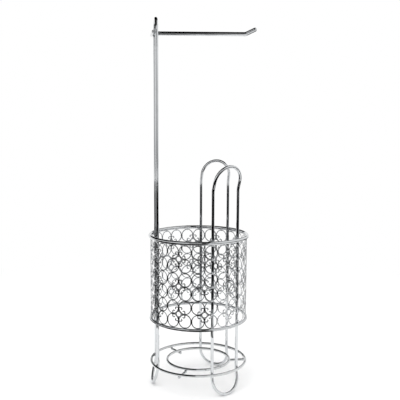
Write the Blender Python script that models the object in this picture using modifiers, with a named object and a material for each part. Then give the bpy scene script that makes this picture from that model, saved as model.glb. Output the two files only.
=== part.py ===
"""A freestanding toilet paper holder of chrome-plated steel wire.

Three closed wire loops stand upright, 120 degrees apart. Each one's lower bend is a foot. The tallest is
the pole, whose crossbar carries the roll arm. Two rims, a pierced lattice band, a base ring and an inner
ring tie the loops into a round well for spare rolls. The well's axis is +Z, and the arm lies along +X.
"""

import math

import bmesh
import bpy
from mathutils import Matrix, Vector

# Wire diameters, and the gap left at each weld
FRAME_WIRE = 0.0045
UPPER_RIM_WIRE = 0.0055
BASE_WIRE = 0.004
ARM_WIRE = 0.006
WELD_GAP = 0.0003
WELD_DISTANCE = 0.000003

# Well: the clear radius inside its rims and base ring, and their heights above the floor
WELL_RADIUS = 0.0705
INNER_RING_RADIUS = 0.0477
BASE_HEIGHT = 0.0345
LOWER_RIM_HEIGHT = 0.103
UPPER_RIM_HEIGHT = 0.2295

# Upright loops: the space between the two legs, the crests, and the outward lean of both ends
LEG_SPACING = 0.046
POLE_CREST_HEIGHT = 0.548
SHORT_CREST_HEIGHT = 0.3375
BEND_RADIUS = 0.015
CREST_LEAN = math.radians(17)
CREST_LEAN_LENGTH = 0.037
FOOT_LEAN = math.radians(14)
FOOT_LEAN_LENGTH = 0.031
FOOT_FLAT_DEPTH = 0.0004
POLE_AZIMUTH = math.radians(180)
FRONT_AZIMUTH = math.radians(-60)
BACK_AZIMUTH = math.radians(60)

# Spokes under the base, midway between the uprights
SPOKE_AZIMUTHS = {"right": 0, "back": math.radians(120), "front": math.radians(-120)}

# Roll arm: its drop below the pole's crest, its slight rise across the well, and its upturned tip
ARM_DROP = 0.021
ARM_RISE = math.radians(0.6)
ARM_BEND_REACH = 0.0687
ARM_TIP_REACH = 0.0825
ARM_TIP_ANGLE = math.radians(25)
ARM_BEND_RADIUS = 0.010
CROSSBAR_LENGTH = 0.0515

# Lattice band, drawn flat and then rolled round the axis
LATTICE_COLUMNS = 24
LATTICE_ROWS = 6
LATTICE_LINE = 0.0022
LATTICE_THICKNESS = 0.0018
LATTICE_SEAM_AZIMUTH = math.radians(75)
EYE_RADIUS = 0.0028
DIAMOND_SHARE = 0.54
KNEE_SHARES = (0.45, 0.36)

# Chrome of each piece: its grey, and how rough it is
FINISHES = {
    "pole_loop": (0.72, 0.10),
    "short_loop_front": (0.74, 0.10),
    "short_loop_back": (0.74, 0.10),
    "upper_rim": (0.70, 0.12),
    "lower_rim": (0.70, 0.12),
    "base_ring": (0.75, 0.12),
    "inner_ring": (0.75, 0.12),
    "base_spoke_right": (0.70, 0.14),
    "base_spoke_back": (0.70, 0.14),
    "base_spoke_front": (0.70, 0.14),
    "arm_crossbar": (0.68, 0.12),
    "roll_arm": (0.70, 0.10),
    "lattice_band": (0.66, 0.16),
}

# Facets
TUBE_BEVEL_STEPS = 2
RING_SEGMENTS = 36
INNER_RING_SEGMENTS = 24
RING_SIDES = 8
LOOP_ARC_STEPS = 10
BEND_STEPS = 2
ARM_BEND_STEPS = 3
CIRCLE_POINTS = 12
DOME_ANGLES = (math.radians(0), math.radians(40), math.radians(75))
SMOOTH_ANGLE = math.radians(60)

# Derived places: the legs stand inside the rings, each loop's plane nearer the axis than its two legs
LEG_RADIUS = WELL_RADIUS - WELD_GAP - FRAME_WIRE / 2
LOOP_REACH = math.sqrt(LEG_RADIUS**2 - (LEG_SPACING / 2) ** 2)
SPOKE_HEIGHT = BASE_HEIGHT - BASE_WIRE - WELD_GAP
SPOKE_INNER_END = INNER_RING_RADIUS - BASE_WIRE / 2
SPOKE_OUTER_END = WELL_RADIUS + BASE_WIRE / 2
ARM_HEIGHT = POLE_CREST_HEIGHT - ARM_DROP
CROSSBAR_REACH = LOOP_REACH + FRAME_WIRE + WELD_GAP
ARM_ROOT_REACH = CROSSBAR_REACH - FRAME_WIRE / 2 - WELD_GAP
FOOT_HEIGHT = FRAME_WIRE / 2 - FOOT_FLAT_DEPTH
LATTICE_RADIUS = WELL_RADIUS + FRAME_WIRE / 2
LATTICE_BOTTOM = LOWER_RIM_HEIGHT + FRAME_WIRE / 2 + WELD_GAP
LATTICE_TOP = UPPER_RIM_HEIGHT - UPPER_RIM_WIRE / 2 - WELD_GAP
COLUMN_PITCH = 2 * math.pi * LATTICE_RADIUS / LATTICE_COLUMNS
ROW_PITCH = (LATTICE_TOP - LATTICE_BOTTOM) / LATTICE_ROWS


def clear_scene():
    for old in list(bpy.data.objects):
        bpy.data.objects.remove(old, do_unlink=True)


def new_collection(name):
    made = bpy.data.collections.new(name)
    bpy.context.scene.collection.children.link(made)
    return made


def chrome(name):
    """Chrome plate on the steel piece of this name."""
    grey, roughness = FINISHES[name]
    material = bpy.data.materials.new(name + "_chrome")
    material.use_nodes = True
    shader = material.node_tree.nodes["Principled BSDF"]
    shader.inputs["Base Color"].default_value = (grey, grey, grey, 1)
    shader.inputs["Metallic"].default_value = 1
    shader.inputs["Roughness"].default_value = roughness
    material.diffuse_color = (grey, grey, grey, 1)
    return material


def add_piece(name, mesh):
    """A piece of the holder with its own chrome, placed from the holder's origin."""
    material = chrome(name)
    if not mesh.materials:
        mesh.materials.append(material)
    piece = bpy.data.objects.new(name, mesh)
    piece.material_slots[0].link = "OBJECT"
    piece.material_slots[0].material = material
    parts.objects.link(piece)
    piece.parent = holder
    return piece


def shade_round(mesh):
    """Smooth round the wire, with true edges left sharp."""
    mesh.shade_smooth()
    mesh.set_sharp_from_angle(angle=SMOOTH_ANGLE)


def as_mesh(name, curve):
    """The curve's solid as a mesh, its caps welded to its sides."""
    guide = bpy.data.objects.new(name, curve)
    bpy.context.scene.collection.objects.link(guide)
    graph = bpy.context.evaluated_depsgraph_get()
    mesh = bpy.data.meshes.new_from_object(guide.evaluated_get(graph))
    mesh.name = name
    shape = bmesh.new()
    shape.from_mesh(mesh)
    bmesh.ops.remove_doubles(shape, verts=shape.verts, dist=WELD_DISTANCE)
    bmesh.ops.recalc_face_normals(shape, faces=shape.faces)
    shape.to_mesh(mesh)
    shape.free()
    bpy.data.objects.remove(guide, do_unlink=True)
    return mesh


def wire_mesh(name, points, diameter, closed=False, radius_shares=None):
    """A round wire along the points, with a share of its radius at each one if they differ."""
    curve = bpy.data.curves.new(name, "CURVE")
    curve.dimensions = "3D"
    curve.bevel_depth = diameter / 2
    curve.bevel_resolution = TUBE_BEVEL_STEPS
    curve.use_fill_caps = True
    spline = curve.splines.new("POLY")
    spline.points.add(len(points) - 1)
    for knot, place in zip(spline.points, points):
        knot.co = (*place, 1)
    for knot, share in zip(spline.points, radius_shares or ()):
        knot.radius = share
    spline.use_cyclic_u = closed
    mesh = as_mesh(name, curve)
    shade_round(mesh)
    return mesh


def around(azimuth, reach, height):
    """The place at that azimuth and reach from the axis."""
    return reach * math.cos(azimuth), reach * math.sin(azimuth), height


def dome(end, along, diameter):
    """Points and radius shares of a domed wire end whose tip is at end, from the wire outward."""
    radius = diameter / 2
    places = [end - along * radius * (1 - math.sin(angle)) for angle in DOME_ANGLES]
    return places, [math.cos(angle) for angle in DOME_ANGLES]


def leaned(lean, past_bend):
    """(rise, outward shift) at a distance past the bend line, where a flat loop turns outward by lean."""
    if lean == 0 or past_bend <= 0:
        return past_bend, 0
    turned = min(past_bend / BEND_RADIUS, lean)
    straight = past_bend - turned * BEND_RADIUS
    rise = BEND_RADIUS * math.sin(turned) + straight * math.cos(lean)
    shift = BEND_RADIUS * (1 - math.cos(turned)) + straight * math.sin(lean)
    return rise, shift


def loop_end(lean, length):
    """Half of one end of a loop, from the bend line to the middle of its arc.

    Each point is (across, rise, shift): across is measured from the loop's middle line.
    """
    half = LEG_SPACING / 2
    steps = LOOP_ARC_STEPS // 2
    bend = [BEND_RADIUS * lean * step / BEND_STEPS for step in range(BEND_STEPS + 1)] if lean else []
    points = [(half, *leaned(lean, past)) for past in bend]
    for step in range(steps + 1):
        turn = math.pi / 2 * step / steps
        past = length - half + half * math.sin(turn)
        points.append((half * math.cos(turn), *leaned(lean, past)))
    return points


def loop_points(crest_height, crest_lean):
    """The centreline of a closed upright loop: out along +X, across along Y, its foot just over the floor."""
    crest = loop_end(crest_lean, CREST_LEAN_LENGTH)
    foot = loop_end(FOOT_LEAN, FOOT_LEAN_LENGTH)
    crest_line = crest_height - crest[-1][1]
    foot_line = FOOT_HEIGHT + foot[-1][1]
    rising = [(shift, across, crest_line + rise) for across, rise, shift in crest]
    falling = [(shift, across, foot_line - rise) for across, rise, shift in foot]
    right = falling[::-1] + rising
    left = [(out, -across, height) for out, across, height in right[-2:0:-1]]
    return right + left


def floor_cutter():
    """A slab whose top is the floor, to level the soles of the feet."""
    bpy.ops.mesh.primitive_cube_add(size=1)
    slab = bpy.context.active_object
    slab.name = "floor_cutter"
    slab.data.transform(Matrix.Diagonal((4 * WELL_RADIUS, 4 * WELL_RADIUS, FRAME_WIRE, 1)))
    slab.location.z = -FRAME_WIRE / 2
    slab.users_collection[0].objects.unlink(slab)
    cutters.objects.link(slab)
    slab.hide_render = True
    slab.display_type = "WIRE"
    return slab


def add_loop(name, mesh, azimuth, slab):
    """A loop standing at its azimuth, its sole cut level with the floor."""
    loop = add_piece(name, mesh)
    loop.location = around(azimuth, LOOP_REACH, 0)
    loop.rotation_euler.z = azimuth
    sole = loop.modifiers.new("level_sole", "BOOLEAN")
    sole.operation = "DIFFERENCE"
    sole.solver = "EXACT"
    sole.object = slab
    return loop


def add_loops(slab):
    pole = wire_mesh("pole_loop", loop_points(POLE_CREST_HEIGHT, 0), FRAME_WIRE, closed=True)
    short = wire_mesh("short_loop", loop_points(SHORT_CREST_HEIGHT, CREST_LEAN), FRAME_WIRE, closed=True)
    add_loop("pole_loop", pole, POLE_AZIMUTH, slab)
    add_loop("short_loop_front", short, FRONT_AZIMUTH, slab)
    add_loop("short_loop_back", short, BACK_AZIMUTH, slab)


def add_ring(name, inner_radius, diameter, height, segments=RING_SEGMENTS):
    bpy.ops.mesh.primitive_torus_add(
        major_segments=segments,
        minor_segments=RING_SIDES,
        major_radius=inner_radius + diameter / 2,
        minor_radius=diameter / 2,
    )
    made = bpy.context.active_object
    mesh = made.data
    mesh.name = name
    mesh.materials.clear()
    bpy.data.objects.remove(made, do_unlink=True)
    shade_round(mesh)
    ring = add_piece(name, mesh)
    ring.location.z = height


def add_rings():
    inner = INNER_RING_RADIUS - BASE_WIRE / 2
    add_ring("upper_rim", WELL_RADIUS, UPPER_RIM_WIRE, UPPER_RIM_HEIGHT)
    add_ring("lower_rim", WELL_RADIUS, FRAME_WIRE, LOWER_RIM_HEIGHT)
    add_ring("base_ring", WELL_RADIUS, BASE_WIRE, BASE_HEIGHT)
    add_ring("inner_ring", inner, BASE_WIRE, BASE_HEIGHT, INNER_RING_SEGMENTS)


def add_spokes():
    """Three short wires under both base rings, each a weld gap below them."""
    ends = [Vector((SPOKE_INNER_END, 0, 0)), Vector((SPOKE_OUTER_END, 0, 0))]
    mesh = wire_mesh("base_spoke", ends, BASE_WIRE)
    for side, azimuth in SPOKE_AZIMUTHS.items():
        spoke = add_piece("base_spoke_" + side, mesh)
        spoke.location.z = SPOKE_HEIGHT
        spoke.rotation_euler.z = azimuth


def add_crossbar():
    """The short bar welded across the outside of the pole's two legs, domed at both ends."""
    end = Vector((0, CROSSBAR_LENGTH / 2, 0))
    places, shares = dome(end, Vector((0, 1, 0)), FRAME_WIRE)
    mirrored = [-place for place in reversed(places)]
    mesh = wire_mesh("arm_crossbar", mirrored + places, FRAME_WIRE, radius_shares=shares[::-1] + shares)
    bar = add_piece("arm_crossbar", mesh)
    bar.location = around(POLE_AZIMUTH, CROSSBAR_REACH, ARM_HEIGHT)
    bar.rotation_euler.z = POLE_AZIMUTH


def arm_points():
    """The arm's centreline along +X from its root, then turned up to a domed tip, with radius shares."""
    along = Vector((math.cos(ARM_TIP_ANGLE), 0, math.sin(ARM_TIP_ANGLE)))
    corner = ARM_ROOT_REACH + ARM_BEND_REACH
    start = corner - ARM_BEND_RADIUS * math.tan(ARM_TIP_ANGLE / 2)
    points = [Vector((0, 0, 0))]
    for step in range(ARM_BEND_STEPS + 1):
        turn = ARM_TIP_ANGLE * step / ARM_BEND_STEPS
        rise = ARM_BEND_RADIUS * (1 - math.cos(turn))
        points.append(Vector((start + ARM_BEND_RADIUS * math.sin(turn), 0, rise)))
    tip = Vector((corner, 0, 0)) + along * (ARM_TIP_REACH - ARM_BEND_REACH + ARM_WIRE / 2) / along.x
    places, shares = dome(tip, along, ARM_WIRE)
    return points + places, [1] * len(points) + shares


def add_arm():
    """The arm, butted against the middle of the crossbar and rising slightly across the well."""
    points, shares = arm_points()
    mesh = wire_mesh("roll_arm", points, ARM_WIRE, radius_shares=shares)
    arm = add_piece("roll_arm", mesh)
    arm.location = around(POLE_AZIMUTH, ARM_ROOT_REACH, ARM_HEIGHT)
    arm.rotation_euler = (0, -ARM_RISE, POLE_AZIMUTH + math.pi)


def corner_points(column_edge, row_edge):
    """How a cell is cut at its corner, from its side edge to its top edge, measured from the corner.

    Four circles meet there. Their gap is a diamond, half a diamond at a rim, or the eye of a small ring.
    """
    across = COLUMN_PITCH / 2 * DIAMOND_SHARE
    up = ROW_PITCH / 2 * DIAMOND_SHARE
    if row_edge in (0, LATTICE_ROWS):
        return [(0, up), (across * KNEE_SHARES[0], up * KNEE_SHARES[1])]
    if column_edge % 2 and row_edge % 2:
        diagonal = EYE_RADIUS * math.sqrt(0.5)
        return [(0, EYE_RADIUS), (diagonal, diagonal), (EYE_RADIUS, 0)]
    return [(0, up), (across, 0)]


def add_quarter_cell(shape, column, row, side, top):
    """The quarter of a lattice cell between its side and its top edge: side and top are +1 or -1."""
    half_width = COLUMN_PITCH / 2
    half_height = ROW_PITCH / 2
    hole_across = half_width - LATTICE_LINE / 2
    hole_up = half_height - LATTICE_LINE / 2
    corner = corner_points(column + (side + 1) // 2, row + (top + 1) // 2)
    outer = [(half_width, 0)]
    outer += [(half_width - x, half_height - y) for x, y in corner]
    outer += [(0, half_height)]
    steps = CIRCLE_POINTS // 4
    turns = [math.pi / 2 * step / steps for step in range(steps + 1)]
    inner = [(hole_across * math.cos(turn), hole_up * math.sin(turn)) for turn in turns]
    faces = [
        [inner[0], outer[0], outer[1], inner[1]],
        [inner[1], *outer[1:-1], *inner[-2:1:-1]],
        [inner[-2], outer[-2], outer[-1], inner[-1]],
    ]
    middle_along = half_width * (2 * column + 1)
    middle_up = half_height * (2 * row + 1)
    for face in faces:
        if side * top < 0:
            face.reverse()
        places = [(middle_along + side * x, middle_up + top * y) for x, y in face]
        shape.faces.new([shape.verts.new(rolled(*place)) for place in places])


def rolled(along, up):
    """A point of the flat lattice once it is rolled round the axis, with a weld gap left at the seam."""
    closing = 1 - WELD_GAP / (COLUMN_PITCH * LATTICE_COLUMNS)
    turn = LATTICE_SEAM_AZIMUTH + along * closing / LATTICE_RADIUS
    return around(turn, LATTICE_RADIUS, up)


def add_lattice():
    """The pierced band: touching circles, with small rings and diamonds in the gaps between them."""
    shape = bmesh.new()
    for column in range(LATTICE_COLUMNS):
        for row in range(LATTICE_ROWS):
            for side, top in ((1, 1), (-1, 1), (-1, -1), (1, -1)):
                add_quarter_cell(shape, column, row, side, top)
    bmesh.ops.remove_doubles(shape, verts=shape.verts, dist=WELD_DISTANCE)
    # Points away from every edge add facets to the sheet but no shape.
    bmesh.ops.dissolve_verts(shape, verts=[vertex for vertex in shape.verts if not vertex.is_boundary])
    mesh = bpy.data.meshes.new("lattice_band")
    shape.to_mesh(mesh)
    shape.free()
    shade_round(mesh)
    band = add_piece("lattice_band", mesh)
    band.location.z = LATTICE_BOTTOM
    sheet = band.modifiers.new("sheet", "SOLIDIFY")
    sheet.thickness = LATTICE_THICKNESS
    sheet.offset = 0


def centre_on_origin():
    """Moves the holder so that the middle of its outer box stands over the origin."""
    bpy.context.view_layer.update()
    graph = bpy.context.evaluated_depsgraph_get()
    pieces = [piece.evaluated_get(graph) for piece in parts.objects]
    corners = [piece.matrix_world @ vertex.co for piece in pieces for vertex in piece.data.vertices]
    for axis in (0, 1):
        places = [corner[axis] for corner in corners]
        holder.location[axis] = -(min(places) + max(places)) / 2


clear_scene()
parts = new_collection("toilet_paper_holder")
cutters = new_collection("cutters")
holder = bpy.data.objects.new("holder_origin", None)
bpy.context.scene.collection.objects.link(holder)
add_loops(floor_cutter())
add_rings()
add_spokes()
add_crossbar()
add_arm()
add_lattice()
centre_on_origin()
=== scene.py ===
"""The looks of a freestanding toilet paper holder of chrome-plated steel wire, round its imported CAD.

Every wire is swept along the same line as its CAD node, with finer sides, rounded ends and small welds. The
pierced band gets its small rings, spokes and curled tips. Lengths are in metres, and the well's axis is +Z.
"""

import math

import bmesh
import bpy
from mathutils import Matrix, Vector
from mathutils.kdtree import KDTree


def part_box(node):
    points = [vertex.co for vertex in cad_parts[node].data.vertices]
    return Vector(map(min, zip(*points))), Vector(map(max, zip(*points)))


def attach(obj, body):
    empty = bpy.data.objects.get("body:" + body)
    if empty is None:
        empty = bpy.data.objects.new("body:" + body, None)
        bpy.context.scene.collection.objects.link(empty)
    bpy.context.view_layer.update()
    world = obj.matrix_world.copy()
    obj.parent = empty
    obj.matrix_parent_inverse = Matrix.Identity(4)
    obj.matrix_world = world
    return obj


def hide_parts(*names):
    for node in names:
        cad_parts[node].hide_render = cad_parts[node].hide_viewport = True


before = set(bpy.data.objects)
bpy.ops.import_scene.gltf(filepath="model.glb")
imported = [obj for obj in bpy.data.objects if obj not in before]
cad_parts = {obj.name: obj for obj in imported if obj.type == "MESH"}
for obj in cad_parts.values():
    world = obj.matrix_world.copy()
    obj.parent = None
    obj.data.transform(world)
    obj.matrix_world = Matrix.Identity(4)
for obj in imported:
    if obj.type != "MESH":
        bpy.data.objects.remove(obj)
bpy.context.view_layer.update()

# Photograph: the place of the camera from the foot of the well's axis, its view and its lens
CAMERA_PLACE = Vector((-0.12675, -1.0124, 0.4099))
CAMERA_VIEW = Vector((0.1251, 0.9844, -0.1237))
CAMERA_ROLL = 0.004
CAMERA_LENS = 61.4
CAMERA_SENSOR = 36

# Wire diameters, the rounding of a spoke's cut ends, and the small gap between wires that a weld fills
FRAME_WIRE = 0.0045
UPPER_RIM_WIRE = 0.0055
BASE_WIRE = 0.004
ARM_WIRE = 0.006
SPOKE_CORNER = BASE_WIRE / 4
WELD_GAP = 0.0003

# Well: the clear radius inside its rims and base ring, and their heights above the floor
WELL_RADIUS = 0.0705
INNER_RING_RADIUS = 0.0477
BASE_HEIGHT = 0.0345
LOWER_RIM_HEIGHT = 0.103
UPPER_RIM_HEIGHT = 0.2295

# Upright loops
LEG_SPACING = 0.046
POLE_CREST_HEIGHT = 0.548
SHORT_CREST_HEIGHT = 0.3375
BEND_RADIUS = 0.015
CREST_LEAN = math.radians(17)
CREST_LEAN_LENGTH = 0.037
FOOT_LEAN = math.radians(14)
FOOT_LEAN_LENGTH = 0.031
FOOT_FLAT_DEPTH = 0.0004
POLE_AZIMUTH = math.radians(180)
FRONT_AZIMUTH = math.radians(-60)
BACK_AZIMUTH = math.radians(60)
SPOKE_AZIMUTHS = {"right": 0, "back": math.radians(120), "front": math.radians(-120)}

# Roll arm and its crossbar: their drop below the pole's crest, the arm's slight rise, and its upturned tip
ARM_DROP = 0.021
ARM_RISE = math.radians(0.6)
ARM_BEND_REACH = 0.0687
ARM_TIP_REACH = 0.0825
ARM_TIP_ANGLE = math.radians(25)
ARM_BEND_RADIUS = 0.010
CROSSBAR_LENGTH = 0.0515

# Pierced band: its strands, its small rings, and the tips that curl into its circles
LATTICE_COLUMNS = 24
LATTICE_ROWS = 6
LATTICE_LINE = 0.0016
SMALL_RING_LINE = 0.0013
LATTICE_DEPTH_SHARE = 0.45
LATTICE_SEAM_AZIMUTH = math.radians(75)
CIRCLE_INSET = 0.00035
SMALL_RING_RADIUS = 0.00375
CURL_STEM = 0.0034
CURL_RADIUS = 0.0016
CURL_TURN = math.radians(160)
CURL_LINE = 0.0017

# Spots of metal in the band, as half sizes: where circles touch, and where a spoke ends and two tips start
CONTACT_SPREAD = 0.00175
CONTACT_DEPTH = 0.0009
ROOT_SPREAD = 0.002
ROOT_DEPTH = 0.0012

# Welds: the half sizes of a bead, how far its haze in the plating reaches, and the swell of a butt weld
WELD_SPREAD = 0.0019
ARM_WELD_SPREAD = ARM_WIRE * 0.45
WELD_DEPTH = 0.0009
HAZE_REACH = 0.007
BUTT_WELD_AZIMUTH = math.radians(97)
BUTT_WELD_SWELL = 0.06
BUTT_WELD_LENGTH = 0.0022

# Chrome finishes: the clear and the hazy colour, roughness, width of a polishing line, size of the ripple
FINISHES = {
    "bright_chrome_on_drawn_wire": ("#D3D5D7", "#B9BBBC", 0.05, 0.0003, 0.009),
    "bright_chrome_on_rolled_rings": ("#D0D2D4", "#B5B7B9", 0.06, 0.0003, 0.007),
    "bright_chrome_on_base_wire": ("#D3D5D6", "#B8BABB", 0.07, 0.0003, 0.006),
    "rubbed_chrome_on_the_arm": ("#D2D4D6", "#BBBDBE", 0.06, 0.00025, 0.012),
    "bright_chrome_on_pierced_steel": ("#CED0D2", "#A9ABAD", 0.08, 0.0004, 0.003),
}

# All chrome: how much longer than wide its polishing lines are, how deep, the least and the most that they
# add to its roughness, and the depth of its ripple
LINE_LENGTH_SHARE = 60
LINE_DEPTH = 0.000004
LINE_ROUGHNESS = (-0.02, 0.03)
RIPPLE_DEPTH = 0.00002

# Haze in the plating: the size of its clouds, the noise values where they start and end, their strength,
# and what full haze adds to the roughness
CLOUD_SIZE = 0.018
CLOUD_LIMITS = (0.52, 0.74)
CLOUD_HAZE = 0.55
HAZE_ROUGHNESS = 0.16

# Facets
WIRE_SIDES = 20
LATTICE_SIDES = 10
RING_STEPS = 144
CIRCLE_STEPS = 40
SMALL_RING_STEPS = 24
ARC_STEPS = 24
BEND_STEPS = 8
DOME_STEPS = 6
DOME_TURN = math.radians(84)
CURL_STEPS = 14
LONGEST_STEP = 0.004
WELD_SUBDIVISIONS = 3
CONTACT_SUBDIVISIONS = 2
SHARP_ANGLE = math.radians(50)

# Derived places
centre_x = sum(corner.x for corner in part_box("base_ring")) / 2
LEG_RADIUS = WELL_RADIUS - WELD_GAP - FRAME_WIRE / 2
LOOP_REACH = math.sqrt(LEG_RADIUS**2 - (LEG_SPACING / 2) ** 2)
FOOT_HEIGHT = FRAME_WIRE / 2 - FOOT_FLAT_DEPTH
SPOKE_HEIGHT = BASE_HEIGHT - BASE_WIRE - WELD_GAP
ARM_HEIGHT = POLE_CREST_HEIGHT - ARM_DROP
CROSSBAR_REACH = LOOP_REACH + FRAME_WIRE + WELD_GAP
ARM_ROOT_REACH = CROSSBAR_REACH - FRAME_WIRE / 2 - WELD_GAP
UPPER_RIM_RADIUS = WELL_RADIUS + UPPER_RIM_WIRE / 2
BASE_RING_RADIUS = WELL_RADIUS + BASE_WIRE / 2
LATTICE_RADIUS = WELL_RADIUS + FRAME_WIRE / 2
LATTICE_BOTTOM = LOWER_RIM_HEIGHT + FRAME_WIRE / 2 + WELD_GAP
LATTICE_TOP = UPPER_RIM_HEIGHT - UPPER_RIM_WIRE / 2 - WELD_GAP
COLUMN_PITCH = 2 * math.pi * LATTICE_RADIUS / LATTICE_COLUMNS
ROW_PITCH = (LATTICE_TOP - LATTICE_BOTTOM) / LATTICE_ROWS

X = Vector((1, 0, 0))
Y = Vector((0, 1, 0))
Z = Vector((0, 0, 1))
weld_places = []


def linear(hex_colour):
    """An sRGB hex colour as linear red, green, blue and alpha."""
    shares = [int(hex_colour[start:start + 2], 16) / 255 for start in (1, 3, 5)]
    lit = [share / 12.92 if share <= 0.04045 else ((share + 0.055) / 1.055) ** 2.4 for share in shares]
    return (*lit, 1)


def add_node(tree, kind, values=None, links=None, **settings):
    """A node with its settings, its sockets' values, and links into its sockets."""
    made = tree.nodes.new(kind)
    for name, value in settings.items():
        setattr(made, name, value)
    for socket, value in (values or {}).items():
        made.inputs[socket].default_value = value
    for socket, source in (links or {}).items():
        tree.links.new(source, made.inputs[socket])
    return made


def chrome_plate(name, clear_hex, haze_hex, roughness, line_width, ripple_size):
    """Bright chrome plated on steel.

    The eye sees a mirror with a slight cool cast, fine lines left by the polishing, a slow ripple of the
    plate, and a soft haze where heat or the plating bath left it thinner. A line a few hundredths of a
    millimetre wide is too fine to show, so it is drawn a few tenths wide.
    """
    material = bpy.data.materials.new(name)
    material.use_nodes = True
    tree = material.node_tree
    shader = tree.nodes["Principled BSDF"]
    shader.inputs["Metallic"].default_value = 1
    drawn = add_node(tree, "ShaderNodeAttribute", attribute_name="drawn")
    weld = add_node(tree, "ShaderNodeAttribute", attribute_name="weld_haze")
    place = add_node(tree, "ShaderNodeTexCoord")
    across = 1 / line_width
    stretched = add_node(
        tree, "ShaderNodeMapping", {"Scale": (across, across, across / LINE_LENGTH_SHARE)},
        {"Vector": drawn.outputs["Vector"]},
    )
    lines = add_node(
        tree, "ShaderNodeTexNoise", {"Scale": 1, "Detail": 3, "Roughness": 0.6},
        {"Vector": stretched.outputs[0]},
    )
    cloud = add_node(
        tree, "ShaderNodeTexNoise", {"Scale": 1 / CLOUD_SIZE, "Detail": 4, "Roughness": 0.65},
        {"Vector": place.outputs["Object"]},
    )
    ripple = add_node(
        tree, "ShaderNodeTexNoise", {"Scale": 1 / ripple_size, "Detail": 2, "Roughness": 0.45},
        {"Vector": place.outputs["Object"]},
    )
    patches = add_node(
        tree, "ShaderNodeMapRange",
        {"From Min": CLOUD_LIMITS[0], "From Max": CLOUD_LIMITS[1], "To Max": CLOUD_HAZE},
        {"Value": cloud.outputs["Fac"]},
    )
    haze = add_node(
        tree, "ShaderNodeMath", None, {0: patches.outputs[0], 1: weld.outputs["Fac"]}, operation="MAXIMUM"
    )
    colour = add_node(
        tree, "ShaderNodeMix", {"A": linear(clear_hex), "B": linear(haze_hex)}, {"Factor": haze.outputs[0]},
        data_type="RGBA",
    )
    hazed = add_node(
        tree, "ShaderNodeMapRange", {"To Min": roughness, "To Max": roughness + HAZE_ROUGHNESS},
        {"Value": haze.outputs[0]},
    )
    lined = add_node(
        tree, "ShaderNodeMath", {1: LINE_ROUGHNESS[1] - LINE_ROUGHNESS[0], 2: LINE_ROUGHNESS[0]},
        {0: lines.outputs["Fac"]}, operation="MULTIPLY_ADD",
    )
    rough = add_node(
        tree, "ShaderNodeMath", None, {0: hazed.outputs[0], 1: lined.outputs[0]}, operation="ADD"
    )
    waves = add_node(
        tree, "ShaderNodeBump", {"Strength": 1, "Distance": RIPPLE_DEPTH}, {"Height": ripple.outputs["Fac"]}
    )
    brushed = add_node(
        tree, "ShaderNodeBump", {"Strength": 0.5, "Distance": LINE_DEPTH},
        {"Height": lines.outputs["Fac"], "Normal": waves.outputs[0]},
    )
    tree.links.new(colour.outputs["Result"], shader.inputs["Base Color"])
    tree.links.new(rough.outputs[0], shader.inputs["Roughness"])
    tree.links.new(brushed.outputs[0], shader.inputs["Normal"])
    return material


def arc(centre, first, second, radius, end_turn, steps):
    """Points round the centre, from the direction first towards second."""
    turns = [end_turn * step / steps for step in range(steps + 1)]
    return [centre + (first * math.cos(turn) + second * math.sin(turn)) * radius for turn in turns]


def evenly(points, closed=False):
    """The same line with points added so that no step is long."""
    ends = points[1:] + points[:1] if closed else points[1:]
    placed = []
    for start, end in zip(points, ends):
        steps = max(1, math.ceil((end - start).length / LONGEST_STEP))
        placed += [start.lerp(end, step / steps) for step in range(steps)]
    return placed if closed else placed + [points[-1]]


def add_tube(shape, points, radii, reference, closed=False, sides=WIRE_SIDES):
    """Sweeps a round section along the points. The reference direction is never along the tube."""
    drawn = shape.verts.layers.float_vector.get("drawn") or shape.verts.layers.float_vector.new("drawn")
    last = len(points) - 1
    hoops = []
    travelled = 0
    for index, (point, radius) in enumerate(zip(points, radii)):
        before = points[index - 1] if index or closed else point
        after = points[(index + 1) % len(points)] if index < last or closed else point
        along = (after - before).normalized()
        side = (reference - along * reference.dot(along)).normalized()
        other = along.cross(side)
        travelled += (point - points[index - 1]).length if index else 0
        hoop = []
        for step in range(sides):
            turn = 2 * math.pi * step / sides
            corner = shape.verts.new(point + (side * math.cos(turn) + other * math.sin(turn)) * radius)
            corner[drawn] = (radius * math.cos(turn), radius * math.sin(turn), travelled)
            hoop.append(corner)
        hoops.append(hoop)
    for first, second in zip(hoops, hoops[1:] + hoops[:1] if closed else hoops[1:]):
        for step in range(sides):
            following = (step + 1) % sides
            shape.faces.new((first[step], first[following], second[following], second[step]))
    if not closed:
        shape.faces.new(hoops[0][::-1])
        shape.faces.new(hoops[-1])


def rounded_end(tip, along, radius, corner):
    """Points and radii of a wire's end whose edge is rounded by corner, from the wire outward."""
    points = []
    radii = []
    for step in range(DOME_STEPS + 1):
        turn = DOME_TURN * step / DOME_STEPS
        points.append(tip - along * corner * (1 - math.sin(turn)))
        radii.append(radius - corner * (1 - math.cos(turn)))
    return points, radii


def new_object(name, mesh):
    made = bpy.data.objects.new(name, mesh)
    bpy.context.scene.collection.objects.link(made)
    return made


def add_weld_haze(mesh):
    """Stores how near each point is to a weld, from 0 far away to 1 at the weld."""
    near = KDTree(len(weld_places))
    for index, place in enumerate(weld_places):
        near.insert(place, index)
    near.balance()
    haze = mesh.attributes.new("weld_haze", "FLOAT", "POINT")
    for point, value in zip(mesh.vertices, haze.data):
        distance = near.find(point.co)[2]
        value.value = max(0, 1 - distance / HAZE_REACH) ** 2


def add_piece(name, mesh, finish, slot, *nodes):
    """A piece with its finish, in place of the CAD nodes that are named."""
    mesh.materials.clear()
    mesh.materials.append(finish)
    mesh.shade_smooth()
    mesh.set_sharp_from_angle(angle=SHARP_ANGLE)
    piece = new_object(name, mesh)
    add_weld_haze(mesh)
    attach(piece, "root")
    if nodes:
        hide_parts(*nodes)


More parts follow.
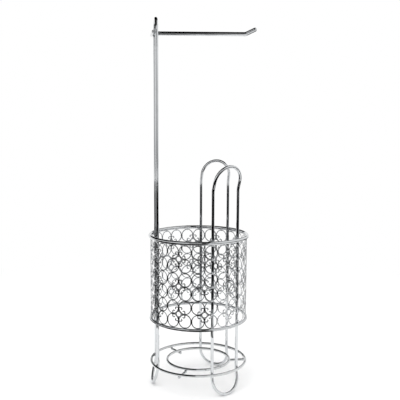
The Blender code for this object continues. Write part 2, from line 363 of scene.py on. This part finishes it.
def mesh_of(name, shape):
    """A mesh of that shape, which is then let go."""
    mesh = bpy.data.meshes.new(name)
    shape.to_mesh(mesh)
    shape.free()
    return mesh


def wire_mesh(name, points, radii, reference, closed=False):
    shape = bmesh.new()
    add_tube(shape, points, radii, reference, closed)
    return mesh_of(name, shape)


def straight_wire_mesh(name, start, end, along, radius, corner):
    """A straight wire from start to end, with the edges of both its ends rounded by corner."""
    first, first_radii = rounded_end(start, -along, radius, corner)
    last, last_radii = rounded_end(end, along, radius, corner)
    middle = evenly([first[0], last[0]])[1:-1]
    points = first[::-1] + middle + last
    radii = first_radii[::-1] + [radius] * len(middle) + last_radii
    return wire_mesh(name, points, radii, Z)


def outward(azimuth):
    """The level direction away from the well's axis at that azimuth."""
    return Vector((math.cos(azimuth), math.sin(azimuth), 0))


def around(azimuth, reach, height):
    """A place at that azimuth and reach from the well's axis."""
    return Vector((centre_x + reach * math.cos(azimuth), reach * math.sin(azimuth), height))


def leaned(lean, past_bend):
    """(rise, outward shift) at a distance past the bend line, where a flat loop turns outward by lean."""
    if lean == 0 or past_bend <= 0:
        return past_bend, 0
    turned = min(past_bend / BEND_RADIUS, lean)
    straight = past_bend - turned * BEND_RADIUS
    rise = BEND_RADIUS * math.sin(turned) + straight * math.cos(lean)
    shift = BEND_RADIUS * (1 - math.cos(turned)) + straight * math.sin(lean)
    return rise, shift


def loop_end(lean, length):
    """Half of one end of a loop as (across, rise, shift), from the bend line to the middle of its arc."""
    half = LEG_SPACING / 2
    bend = [BEND_RADIUS * lean * step / BEND_STEPS for step in range(BEND_STEPS + 1)] if lean else []
    points = [(half, *leaned(lean, past)) for past in bend]
    for step in range(ARC_STEPS + 1):
        turn = math.pi / 2 * step / ARC_STEPS
        past = length - half + half * math.sin(turn)
        points.append((half * math.cos(turn), *leaned(lean, past)))
    return points


def loop_points(azimuth, crest_height, crest_lean):
    """The centreline of a closed upright loop at its azimuth, its foot just over the floor."""
    crest = loop_end(crest_lean, CREST_LEAN_LENGTH)
    foot = loop_end(FOOT_LEAN, FOOT_LEAN_LENGTH)
    crest_line = crest_height - crest[-1][1]
    foot_line = FOOT_HEIGHT + foot[-1][1]
    rising = [(shift, across, crest_line + rise) for across, rise, shift in crest]
    falling = [(shift, across, foot_line - rise) for across, rise, shift in foot]
    right = falling[::-1] + rising
    left = [(out, -across, height) for out, across, height in right[-2:0:-1]]
    turned = Matrix.Rotation(azimuth, 3, "Z")
    foot_place = around(azimuth, LOOP_REACH, 0)
    return [foot_place + turned @ Vector(place) for place in right + left]


def leg_azimuths(azimuth):
    """Where a loop's two legs stand round the well."""
    half_turn = math.asin(LEG_SPACING / 2 / LEG_RADIUS)
    return azimuth - half_turn, azimuth + half_turn


def add_loop(name, azimuth, crest_height, crest_lean, finish, node):
    """A closed upright loop, worn flat under its foot where it rests on the floor."""
    points = evenly(loop_points(azimuth, crest_height, crest_lean), closed=True)
    radii = [FRAME_WIRE / 2] * len(points)
    mesh = wire_mesh(name, points, radii, outward(azimuth), closed=True)
    for corner in mesh.vertices:
        corner.co.z = max(0, corner.co.z)
    add_piece(name, mesh, finish, "frame_wire", node)


def add_ring(node, radius, wire, height, finish, slot):
    """A ring of wire, a little thicker where its two ends are butt welded."""
    name = node + "_wire"
    centre = Vector((centre_x, 0, height))
    points = arc(centre, X, Y, radius, 2 * math.pi, RING_STEPS)[:-1]
    radii = []
    for step in range(RING_STEPS):
        turn = 2 * math.pi * step / RING_STEPS
        past = (turn - BUTT_WELD_AZIMUTH) * radius / BUTT_WELD_LENGTH
        radii.append(wire / 2 * (1 + BUTT_WELD_SWELL * math.exp(-past * past)))
    add_piece(name, wire_mesh(name, points, radii, Z, closed=True), finish, slot, node)


def add_spoke(side, azimuth, finish):
    """A short cut wire under both base rings."""
    name = side + "_spoke_wire"
    inner = around(azimuth, INNER_RING_RADIUS - BASE_WIRE / 2, SPOKE_HEIGHT)
    outer = around(azimuth, BASE_RING_RADIUS, SPOKE_HEIGHT)
    mesh = straight_wire_mesh(name, inner, outer, outward(azimuth), BASE_WIRE / 2, SPOKE_CORNER)
    add_piece(name, mesh, finish, "base_wire", "base_spoke_" + side)


def add_crossbar(finish):
    """The short bar across the outside of the pole's two legs, domed at both ends."""
    middle = around(POLE_AZIMUTH, CROSSBAR_REACH, ARM_HEIGHT)
    across = Z.cross(outward(POLE_AZIMUTH))
    half = across * CROSSBAR_LENGTH / 2
    radius = FRAME_WIRE / 2
    mesh = straight_wire_mesh("crossbar_wire", middle - half, middle + half, across, radius, radius)
    add_piece("crossbar_wire", mesh, finish, "arm_wire", "arm_crossbar")


def add_arm(finish):
    """The rod from the crossbar across the well, rising slightly, then turned up to a domed tip."""
    root = around(POLE_AZIMUTH, ARM_ROOT_REACH, ARM_HEIGHT)
    level = -outward(POLE_AZIMUTH)
    out = level * math.cos(ARM_RISE) + Z * math.sin(ARM_RISE)
    up = Z * math.cos(ARM_RISE) - level * math.sin(ARM_RISE)
    along = out * math.cos(ARM_TIP_ANGLE) + up * math.sin(ARM_TIP_ANGLE)
    corner = root + out * (ARM_ROOT_REACH + ARM_BEND_REACH)
    start = corner - out * ARM_BEND_RADIUS * math.tan(ARM_TIP_ANGLE / 2)
    bend = arc(start + up * ARM_BEND_RADIUS, -up, out, ARM_BEND_RADIUS, ARM_TIP_ANGLE, BEND_STEPS)
    tip = corner + along * (ARM_TIP_REACH - ARM_BEND_REACH + ARM_WIRE / 2) / math.cos(ARM_TIP_ANGLE)
    end, end_radii = rounded_end(tip, along, ARM_WIRE / 2, ARM_WIRE / 2)
    line = evenly([root] + bend + end[:1])[:-1]
    mesh = wire_mesh("arm_rod", line + end, [ARM_WIRE / 2] * len(line) + end_radii, out.cross(up))
    add_piece("arm_rod", mesh, finish, "arm_wire", "roll_arm")


def add_bead(shape, place, out, sizes, subdivisions):
    """A weld bead: a squashed ball, thin along the direction out, at the place where two wires meet."""
    rounded = Matrix.LocRotScale(place, out.to_track_quat("Z", "Y"), Vector(sizes))
    bmesh.ops.create_icosphere(shape, subdivisions=subdivisions, radius=1, matrix=rounded)


def add_welds(name, places, finish, slot, spread=WELD_SPREAD):
    """One bead at each place, all as one piece."""
    shape = bmesh.new()
    shape.verts.layers.float_vector.new("drawn")
    for place, out in places:
        add_bead(shape, place, out, (spread, spread, WELD_DEPTH), WELD_SUBDIVISIONS)
    add_piece(name, mesh_of(name, shape), finish, slot)


def ring_weld_places(height):
    """Where a ring lies against each of the six legs, and the direction from one wire to the other."""
    places = []
    for loop in (POLE_AZIMUTH, FRONT_AZIMUTH, BACK_AZIMUTH):
        for azimuth in leg_azimuths(loop):
            places.append((around(azimuth, WELL_RADIUS - WELD_GAP / 2, height), outward(azimuth)))
    return places


def spoke_weld_places():
    """Where each spoke lies under the inner ring and under the base ring."""
    height = BASE_HEIGHT - BASE_WIRE / 2 - WELD_GAP / 2
    reaches = (INNER_RING_RADIUS, WELL_RADIUS + SPOKE_CORNER)
    return [(around(azimuth, reach, height), Z) for azimuth in SPOKE_AZIMUTHS.values() for reach in reaches]


def crossbar_weld_places():
    """Where the crossbar lies against the pole's two legs."""
    out = outward(POLE_AZIMUTH)
    middle = around(POLE_AZIMUTH, LOOP_REACH + FRAME_WIRE / 2 + WELD_GAP / 2, ARM_HEIGHT)
    return [(middle + Z.cross(out) * side * LEG_SPACING / 2, out) for side in (1, -1)]


def rolled(place):
    """A place on the flat band, with its depth as z, once the band is pressed flatter and rolled round."""
    azimuth = LATTICE_SEAM_AZIMUTH + place.x / LATTICE_RADIUS
    reach = LATTICE_RADIUS + place.z * LATTICE_DEPTH_SHARE
    return around(azimuth, reach, LATTICE_BOTTOM + place.y)


def flat(across, up):
    """A place on the flat band, in columns across and rows up."""
    return Vector((across * COLUMN_PITCH, up * ROW_PITCH, 0))


def ellipse_points(centre, half_width, half_height, steps):
    turns = [2 * math.pi * step / steps for step in range(steps)]
    places = [(half_width * math.cos(turn), half_height * math.sin(turn), 0) for turn in turns]
    return [centre + Vector(place) for place in places]


def add_lattice_line(shape, points, line, closed=False):
    add_tube(shape, points, [line / 2] * len(points), Z, closed, LATTICE_SIDES)


def circles_shape(parity):
    """Every second circle of the band, like one colour of a chequerboard, so that none of them touch."""
    shape = bmesh.new()
    half_width = COLUMN_PITCH / 2 - CIRCLE_INSET
    half_height = ROW_PITCH / 2 - CIRCLE_INSET
    for column in range(LATTICE_COLUMNS):
        for row in range(LATTICE_ROWS):
            if (column + row) % 2 == parity:
                centre = flat(column + 0.5, row + 0.5)
                points = ellipse_points(centre, half_width, half_height, CIRCLE_STEPS)
                add_lattice_line(shape, points, LATTICE_LINE, closed=True)
    return shape


def small_ring_centres():
    """The middle of every second gap between rows 1 and 2, 3 and 4, and 5 and 6."""
    columns = range(1, LATTICE_COLUMNS, 2)
    rows = range(1, LATTICE_ROWS, 2)
    return [flat(column, row) for column in columns for row in rows]


def small_rings_shape():
    shape = bmesh.new()
    for centre in small_ring_centres():
        points = ellipse_points(centre, SMALL_RING_RADIUS, SMALL_RING_RADIUS, SMALL_RING_STEPS)
        add_lattice_line(shape, points, SMALL_RING_LINE, closed=True)
    return shape


def ring_arms():
    """(ring centre, outward direction, length) of the four spokes of each small ring."""
    arms = [(X, COLUMN_PITCH / 2), (-X, COLUMN_PITCH / 2), (Y, ROW_PITCH / 2), (-Y, ROW_PITCH / 2)]
    return [(centre, out, length) for centre in small_ring_centres() for out, length in arms]


def spokes_shape():
    shape = bmesh.new()
    for centre, out, length in ring_arms():
        ends = [centre + out * SMALL_RING_RADIUS, centre + out * (length - CIRCLE_INSET)]
        add_lattice_line(shape, ends, LATTICE_LINE)
    return shape


def contacts_shape():
    """The spots of metal where circles touch, side by side or one above the other, and where spokes end."""
    shape = bmesh.new()
    shape.verts.layers.float_vector.new("drawn")
    columns = range(LATTICE_COLUMNS)
    beside = [flat(column, row + 0.5) for column in columns for row in range(LATTICE_ROWS)]
    above = [flat(column + 0.5, row) for column in columns for row in range(LATTICE_ROWS + 1)]
    roots = [centre + out * length for centre, out, length in ring_arms()]
    for place in beside + above:
        if min((place - root).length for root in roots) > CONTACT_SPREAD:
            sizes = (CONTACT_SPREAD, CONTACT_SPREAD, CONTACT_DEPTH)
            add_bead(shape, place, Z, sizes, CONTACT_SUBDIVISIONS)
    for place in roots:
        add_bead(shape, place, Z, (ROOT_SPREAD, ROOT_SPREAD, ROOT_DEPTH), CONTACT_SUBDIVISIONS)
    return shape


def curl(start, inward, towards_ring):
    """The line of one curled tip, from where two circles touch into one of them."""
    centre = start + inward * CURL_STEM + towards_ring * CURL_RADIUS
    tip = arc(centre, -towards_ring, inward, CURL_RADIUS, CURL_TURN, CURL_STEPS)
    return [start + inward * CURL_LINE] + tip


def curls_shape():
    """Where a spoke ends, a line runs out of it into both circles and curls back towards the ring."""
    shape = bmesh.new()
    for centre, out, length in ring_arms():
        start = centre + out * length
        inward = out.cross(Z)
        one = curl(start, inward, -out)
        other = curl(start, -inward, -out)
        add_lattice_line(shape, one[::-1] + other, CURL_LINE)
    return shape


def rolled_object(name, shape):
    """An object of the flat shape once it is rolled round the well."""
    for corner in shape.verts:
        corner.co = rolled(corner.co)
    bmesh.ops.recalc_face_normals(shape, faces=shape.faces)
    return new_object(name, mesh_of(name, shape))


def fuse(body, *others):
    """The body's mesh with the others united with it into one skin."""
    for other in others:
        union = body.modifiers.new("fuse", "BOOLEAN")
        union.operation = "UNION"
        union.solver = "MANIFOLD"
        union.object = other
    graph = bpy.context.evaluated_depsgraph_get()
    mesh = bpy.data.meshes.new_from_object(body.evaluated_get(graph))
    for used in (body, *others):
        bpy.data.objects.remove(used, do_unlink=True)
    return mesh


def set_flat_coordinates(mesh):
    """Stores each point's place on the flat band, along which its polishing lines run."""
    for point, value in zip(mesh.vertices, mesh.attributes["drawn"].data):
        reach = math.hypot(point.co.x - centre_x, point.co.y)
        azimuth = math.atan2(point.co.y, point.co.x - centre_x)
        value.vector = (point.co.z, reach, azimuth * LATTICE_RADIUS)


def add_band(finish):
    """The pierced band: circles that touch, small rings with four spokes, and curled tips."""
    body = rolled_object("pierced_band", circles_shape(0))
    others = [circles_shape(1), small_rings_shape(), spokes_shape(), curls_shape(), contacts_shape()]
    mesh = fuse(body, *[rolled_object("band_layer", shape) for shape in others])
    mesh.name = "pierced_band"
    set_flat_coordinates(mesh)
    add_piece("pierced_band", mesh, finish, "lattice", "lattice_band")


# Studio: the directions to the camera and to the picture's right, the floor and the reach within which its
# shadows fade to plain white, and the softbox
CAMERA_AZIMUTH = math.atan2(CAMERA_PLACE.y, CAMERA_PLACE.x)
TO_CAMERA = outward(CAMERA_AZIMUTH)
TO_RIGHT = Vector((-TO_CAMERA.y, TO_CAMERA.x, 0))
FLOOR_HALF = 6
FIBRES_PER_METRE = 900
SHADOW_REACH = (0.35, 0.9)
SOFTBOX_PLACE = Vector((-0.8, -1.4, 2.4))
SOFTBOX_AIM = Vector((0, 0, 0.2))
SOFTBOX_SIZE = 1.6
SOFTBOX_POWER = 20

# Flags, which stand round the holder: their limits in degrees to the right of the plane of the view, and in
# degrees up from level in front, and their shades from the first edge to the last
FLAG_DISTANCE = 3.2
FLAG_CENTRE_HEIGHT = 0.3
FLAGS = {
    "left_wall_foot": ((-60, 16), (-5.3, 2), (0.1, 0.5)),
    "left_wall": ((-60, 16), (2, 10), (0.54, 0.54)),
    "right_wall_foot": ((26, 60), (-5.3, 2), (0.1, 0.5)),
    "right_wall": ((26, 60), (2, 10), (0.54, 0.54)),
    "front_flag": ((-20, 22), (10, 35), (0, 0)),
    "upper_front_flag": ((6, 22), (35, 60), (0, 0)),
    "overhead_flag": ((-70, 22), (60, 165), (0, 0)),
}

# Level cloths: their limits in degrees to the right of the plane of the view, their reaches from the well's
# axis, their shades from the nearest edge to the furthest, and their height
APRON_HEIGHT = 0.002
CARD_HEIGHT = 0.09
UNDERSIDE_HEIGHT = 0.088
REFLECTOR_HEIGHT = 0.43
LEVEL_CLOTHS = {
    "black_apron": ((-95, 95), (0.5, 2.4), (0, 0), APRON_HEIGHT),
    "far_apron": ((-95, 95), (2.4, 3.2), (0, 0.15), APRON_HEIGHT),
    "near_card": ((-115, 20), (0.08, 0.3), (0, 0), CARD_HEIGHT),
    "rim_card": ((-45, 20), (0.0715, 0.08), (0, 0), CARD_HEIGHT),
    "well_card": ((-60, 20), (0.035, 0.064), (0, 0), CARD_HEIGHT),
    "near_card_underside": ((-5, 20), (0.08, 0.3), (0.9, 0.9), UNDERSIDE_HEIGHT),
    "left_card": ((-115, -50), (0.3, 1), (0, 0), CARD_HEIGHT),
    "tip_reflector": ((30, 85), (0.16, 0.5), (0.95, 0.95), REFLECTOR_HEIGHT),
    "right_back_apron": ((95, 165), (0.45, 1.3), (0.15, 0.15), APRON_HEIGHT),
}
SHEET_STEPS = 24


def seen_rays(tree):
    """1 for a ray from the camera, or one that a mirror or glass sends on, and 0 for one that lights."""
    path = add_node(tree, "ShaderNodeLightPath")
    seen = add_node(
        tree, "ShaderNodeMath", None,
        {0: path.outputs["Is Camera Ray"], 1: path.outputs["Is Glossy Ray"]}, operation="MAXIMUM",
    )
    return add_node(
        tree, "ShaderNodeMath", None, {0: seen.outputs[0], 1: path.outputs["Is Transmission Ray"]},
        operation="MAXIMUM",
    ).outputs[0]


def pale_paper(name):
    """Matt white background paper: soft shadows near the holder, and plain white further off."""
    material = bpy.data.materials.new(name)
    material.use_nodes = True
    tree = material.node_tree
    paper = tree.nodes["Principled BSDF"]
    paper.inputs["Roughness"].default_value = 0.9
    paper.inputs["Specular IOR Level"].default_value = 0
    place = add_node(tree, "ShaderNodeTexCoord")
    fibre = add_node(
        tree, "ShaderNodeTexNoise", {"Scale": FIBRES_PER_METRE, "Detail": 2},
        {"Vector": place.outputs["Object"]},
    )
    tint = add_node(
        tree, "ShaderNodeMix", {"A": linear("#FAFAFA"), "B": linear("#FFFFFF")},
        {"Factor": fibre.outputs["Fac"]}, data_type="RGBA",
    )
    tree.links.new(tint.outputs["Result"], paper.inputs["Base Color"])
    reach = add_node(tree, "ShaderNodeVectorMath", None, {0: place.outputs["Object"]}, operation="LENGTH")
    away = add_node(
        tree, "ShaderNodeMapRange", {"From Min": SHADOW_REACH[0], "From Max": SHADOW_REACH[1]},
        {"Value": reach.outputs["Value"]}, interpolation_type="SMOOTHSTEP",
    )
    seen = seen_rays(tree)
    plain = add_node(tree, "ShaderNodeMath", None, {0: away.outputs[0], 1: seen}, operation="MULTIPLY")
    white = add_node(tree, "ShaderNodeEmission", {"Color": (1, 1, 1, 1), "Strength": 1})
    both = add_node(
        tree, "ShaderNodeMixShader", None, {0: plain.outputs[0], 1: paper.outputs[0], 2: white.outputs[0]}
    )
    tree.links.new(both.outputs[0], tree.nodes["Material Output"].inputs["Surface"])
    return material


def add_floor():
    shape = bmesh.new()
    bmesh.ops.create_grid(shape, x_segments=1, y_segments=1, size=FLOOR_HALF)
    mesh = mesh_of("floor", shape)
    mesh.materials.append(pale_paper("white_background_paper"))
    new_object("floor", mesh)


def flag_cloth(name):
    """Studio cloth that shows only as a reflection in the chrome, as dark as its shade at each place."""
    material = bpy.data.materials.new(name)
    material.use_nodes = True
    tree = material.node_tree
    tree.nodes.remove(tree.nodes["Principled BSDF"])
    shade = add_node(tree, "ShaderNodeAttribute", attribute_name="shade")
    grey = add_node(tree, "ShaderNodeEmission", {"Color": (1, 1, 1, 1)}, {"Strength": shade.outputs["Fac"]})
    tree.links.new(grey.outputs[0], tree.nodes["Material Output"].inputs["Surface"])
    return material


def add_sheet(name, place_of, shades):
    """A sheet of studio cloth: place_of turns two shares into a point, and the second sets the shade."""
    shape = bmesh.new()
    shade = shape.verts.layers.float.new("shade")
    rows = []
    for step in range(SHEET_STEPS + 1):
        share = step / SHEET_STEPS
        row = [shape.verts.new(place_of(side / SHEET_STEPS, share)) for side in range(SHEET_STEPS + 1)]
        for corner in row:
            corner[shade] = shades[0] + (shades[1] - shades[0]) * share
        rows.append(row)
    for low, high in zip(rows, rows[1:]):
        for side in range(SHEET_STEPS):
            shape.faces.new((low[side], low[side + 1], high[side + 1], high[side]))
    mesh = mesh_of(name, shape)
    mesh.materials.append(flag_cloth(name + "_cloth"))
    sheet = new_object(name, mesh)
    sheet.visible_camera = False
    sheet.visible_diffuse = False
    sheet.visible_transmission = False
    sheet.visible_shadow = False


def add_flag(name, sides, heights, shades):
    """A curved flag round the holder, as a strip that rises in front of it and may pass over to its back."""
    middle = Vector((centre_x, 0, FLAG_CENTRE_HEIGHT))

    def place_of(side, up):
        aside = math.radians(sides[0] + (sides[1] - sides[0]) * side)
        risen = math.radians(heights[0] + (heights[1] - heights[0]) * up)
        ahead = TO_CAMERA * math.cos(risen) + Z * math.sin(risen)
        return middle + (ahead * math.cos(aside) + TO_RIGHT * math.sin(aside)) * FLAG_DISTANCE

    add_sheet(name, place_of, shades)


def add_level_cloth(name, sides, reaches, shades, height):
    """A cloth that lies level, as part of a ring round the well's axis."""

    def place_of(side, out):
        azimuth = CAMERA_AZIMUTH + math.radians(sides[0] + (sides[1] - sides[0]) * side)
        return around(azimuth, reaches[0] + (reaches[1] - reaches[0]) * out, height)

    add_sheet(name, place_of, shades)


def add_world():
    """An even white studio."""
    world = bpy.data.worlds.new("white_studio")
    bpy.context.scene.world = world
    world.use_nodes = True
    world.node_tree.nodes["Background"].inputs["Color"].default_value = (1, 1, 1, 1)


def add_softbox():
    """A large soft lamp, high in front and to the left, which the chrome doesn't show."""
    lamp = bpy.data.lights.new("high_softbox", "AREA")
    lamp.shape = "SQUARE"
    lamp.size = SOFTBOX_SIZE
    lamp.energy = SOFTBOX_POWER
    box = new_object("high_softbox", lamp)
    box.location = SOFTBOX_PLACE
    box.rotation_euler = (SOFTBOX_AIM - SOFTBOX_PLACE).to_track_quat("-Z", "Y").to_euler()
    box.visible_glossy = False


def add_camera():
    forward = CAMERA_VIEW.normalized()
    right = forward.cross(Z).normalized()
    up = right.cross(forward)
    tilted_right = right * math.cos(CAMERA_ROLL) + up * math.sin(CAMERA_ROLL)
    tilted_up = up * math.cos(CAMERA_ROLL) - right * math.sin(CAMERA_ROLL)
    lens = bpy.data.cameras.new("photograph_view")
    lens.lens = CAMERA_LENS
    lens.sensor_width = CAMERA_SENSOR
    camera = new_object("photograph_view", lens)
    turned = Matrix((tilted_right, tilted_up, -forward)).transposed()
    camera.matrix_world = Matrix.Translation(CAMERA_PLACE + X * centre_x) @ turned.to_4x4()
    bpy.context.scene.camera = camera


def add_holder():
    finishes = [chrome_plate(name, *looks) for name, looks in FINISHES.items()]
    frame_chrome, rim_chrome, base_chrome, arm_chrome, band_chrome = finishes
    upper_rim_welds = ring_weld_places(UPPER_RIM_HEIGHT)
    lower_rim_welds = ring_weld_places(LOWER_RIM_HEIGHT)
    base_ring_welds = ring_weld_places(BASE_HEIGHT)
    spoke_welds = spoke_weld_places()
    crossbar_welds = crossbar_weld_places()
    arm_weld = [(around(POLE_AZIMUTH, ARM_ROOT_REACH + WELD_GAP / 2, ARM_HEIGHT), outward(POLE_AZIMUTH))]
    for places in (upper_rim_welds, lower_rim_welds, base_ring_welds, spoke_welds, crossbar_welds, arm_weld):
        weld_places.extend(place for place, out in places)
    add_loop("pole_wire", POLE_AZIMUTH, POLE_CREST_HEIGHT, 0, frame_chrome, "pole_loop")
    for side, azimuth in {"front": FRONT_AZIMUTH, "back": BACK_AZIMUTH}.items():
        name = side + "_loop_wire"
        add_loop(name, azimuth, SHORT_CREST_HEIGHT, CREST_LEAN, frame_chrome, "short_loop_" + side)
    add_ring("upper_rim", UPPER_RIM_RADIUS, UPPER_RIM_WIRE, UPPER_RIM_HEIGHT, rim_chrome, "rim_wire")
    add_ring("lower_rim", LATTICE_RADIUS, FRAME_WIRE, LOWER_RIM_HEIGHT, rim_chrome, "rim_wire")
    add_ring("base_ring", BASE_RING_RADIUS, BASE_WIRE, BASE_HEIGHT, base_chrome, "base_wire")
    add_ring("inner_ring", INNER_RING_RADIUS, BASE_WIRE, BASE_HEIGHT, base_chrome, "base_wire")
    for side, azimuth in SPOKE_AZIMUTHS.items():
        add_spoke(side, azimuth, base_chrome)
    add_crossbar(arm_chrome)
    add_arm(arm_chrome)
    add_band(band_chrome)
    add_welds("upper_rim_welds", upper_rim_welds, rim_chrome, "rim_wire")
    add_welds("lower_rim_welds", lower_rim_welds, rim_chrome, "rim_wire")
    add_welds("base_ring_welds", base_ring_welds, base_chrome, "base_wire")
    add_welds("spoke_welds", spoke_welds, base_chrome, "base_wire")
    add_welds("crossbar_welds", crossbar_welds, arm_chrome, "arm_wire")
    add_welds("arm_weld", arm_weld, arm_chrome, "arm_wire", spread=ARM_WELD_SPREAD)


def add_studio():
    add_floor()
    add_world()
    add_softbox()
    for name, (sides, heights, shades) in FLAGS.items():
        add_flag(name, sides, heights, shades)
    for name, (sides, reaches, shades, height) in LEVEL_CLOTHS.items():
        add_level_cloth(name, sides, reaches, shades, height)
    add_camera()
    bpy.context.scene.view_settings.view_transform = "Standard"


add_studio()
add_holder()
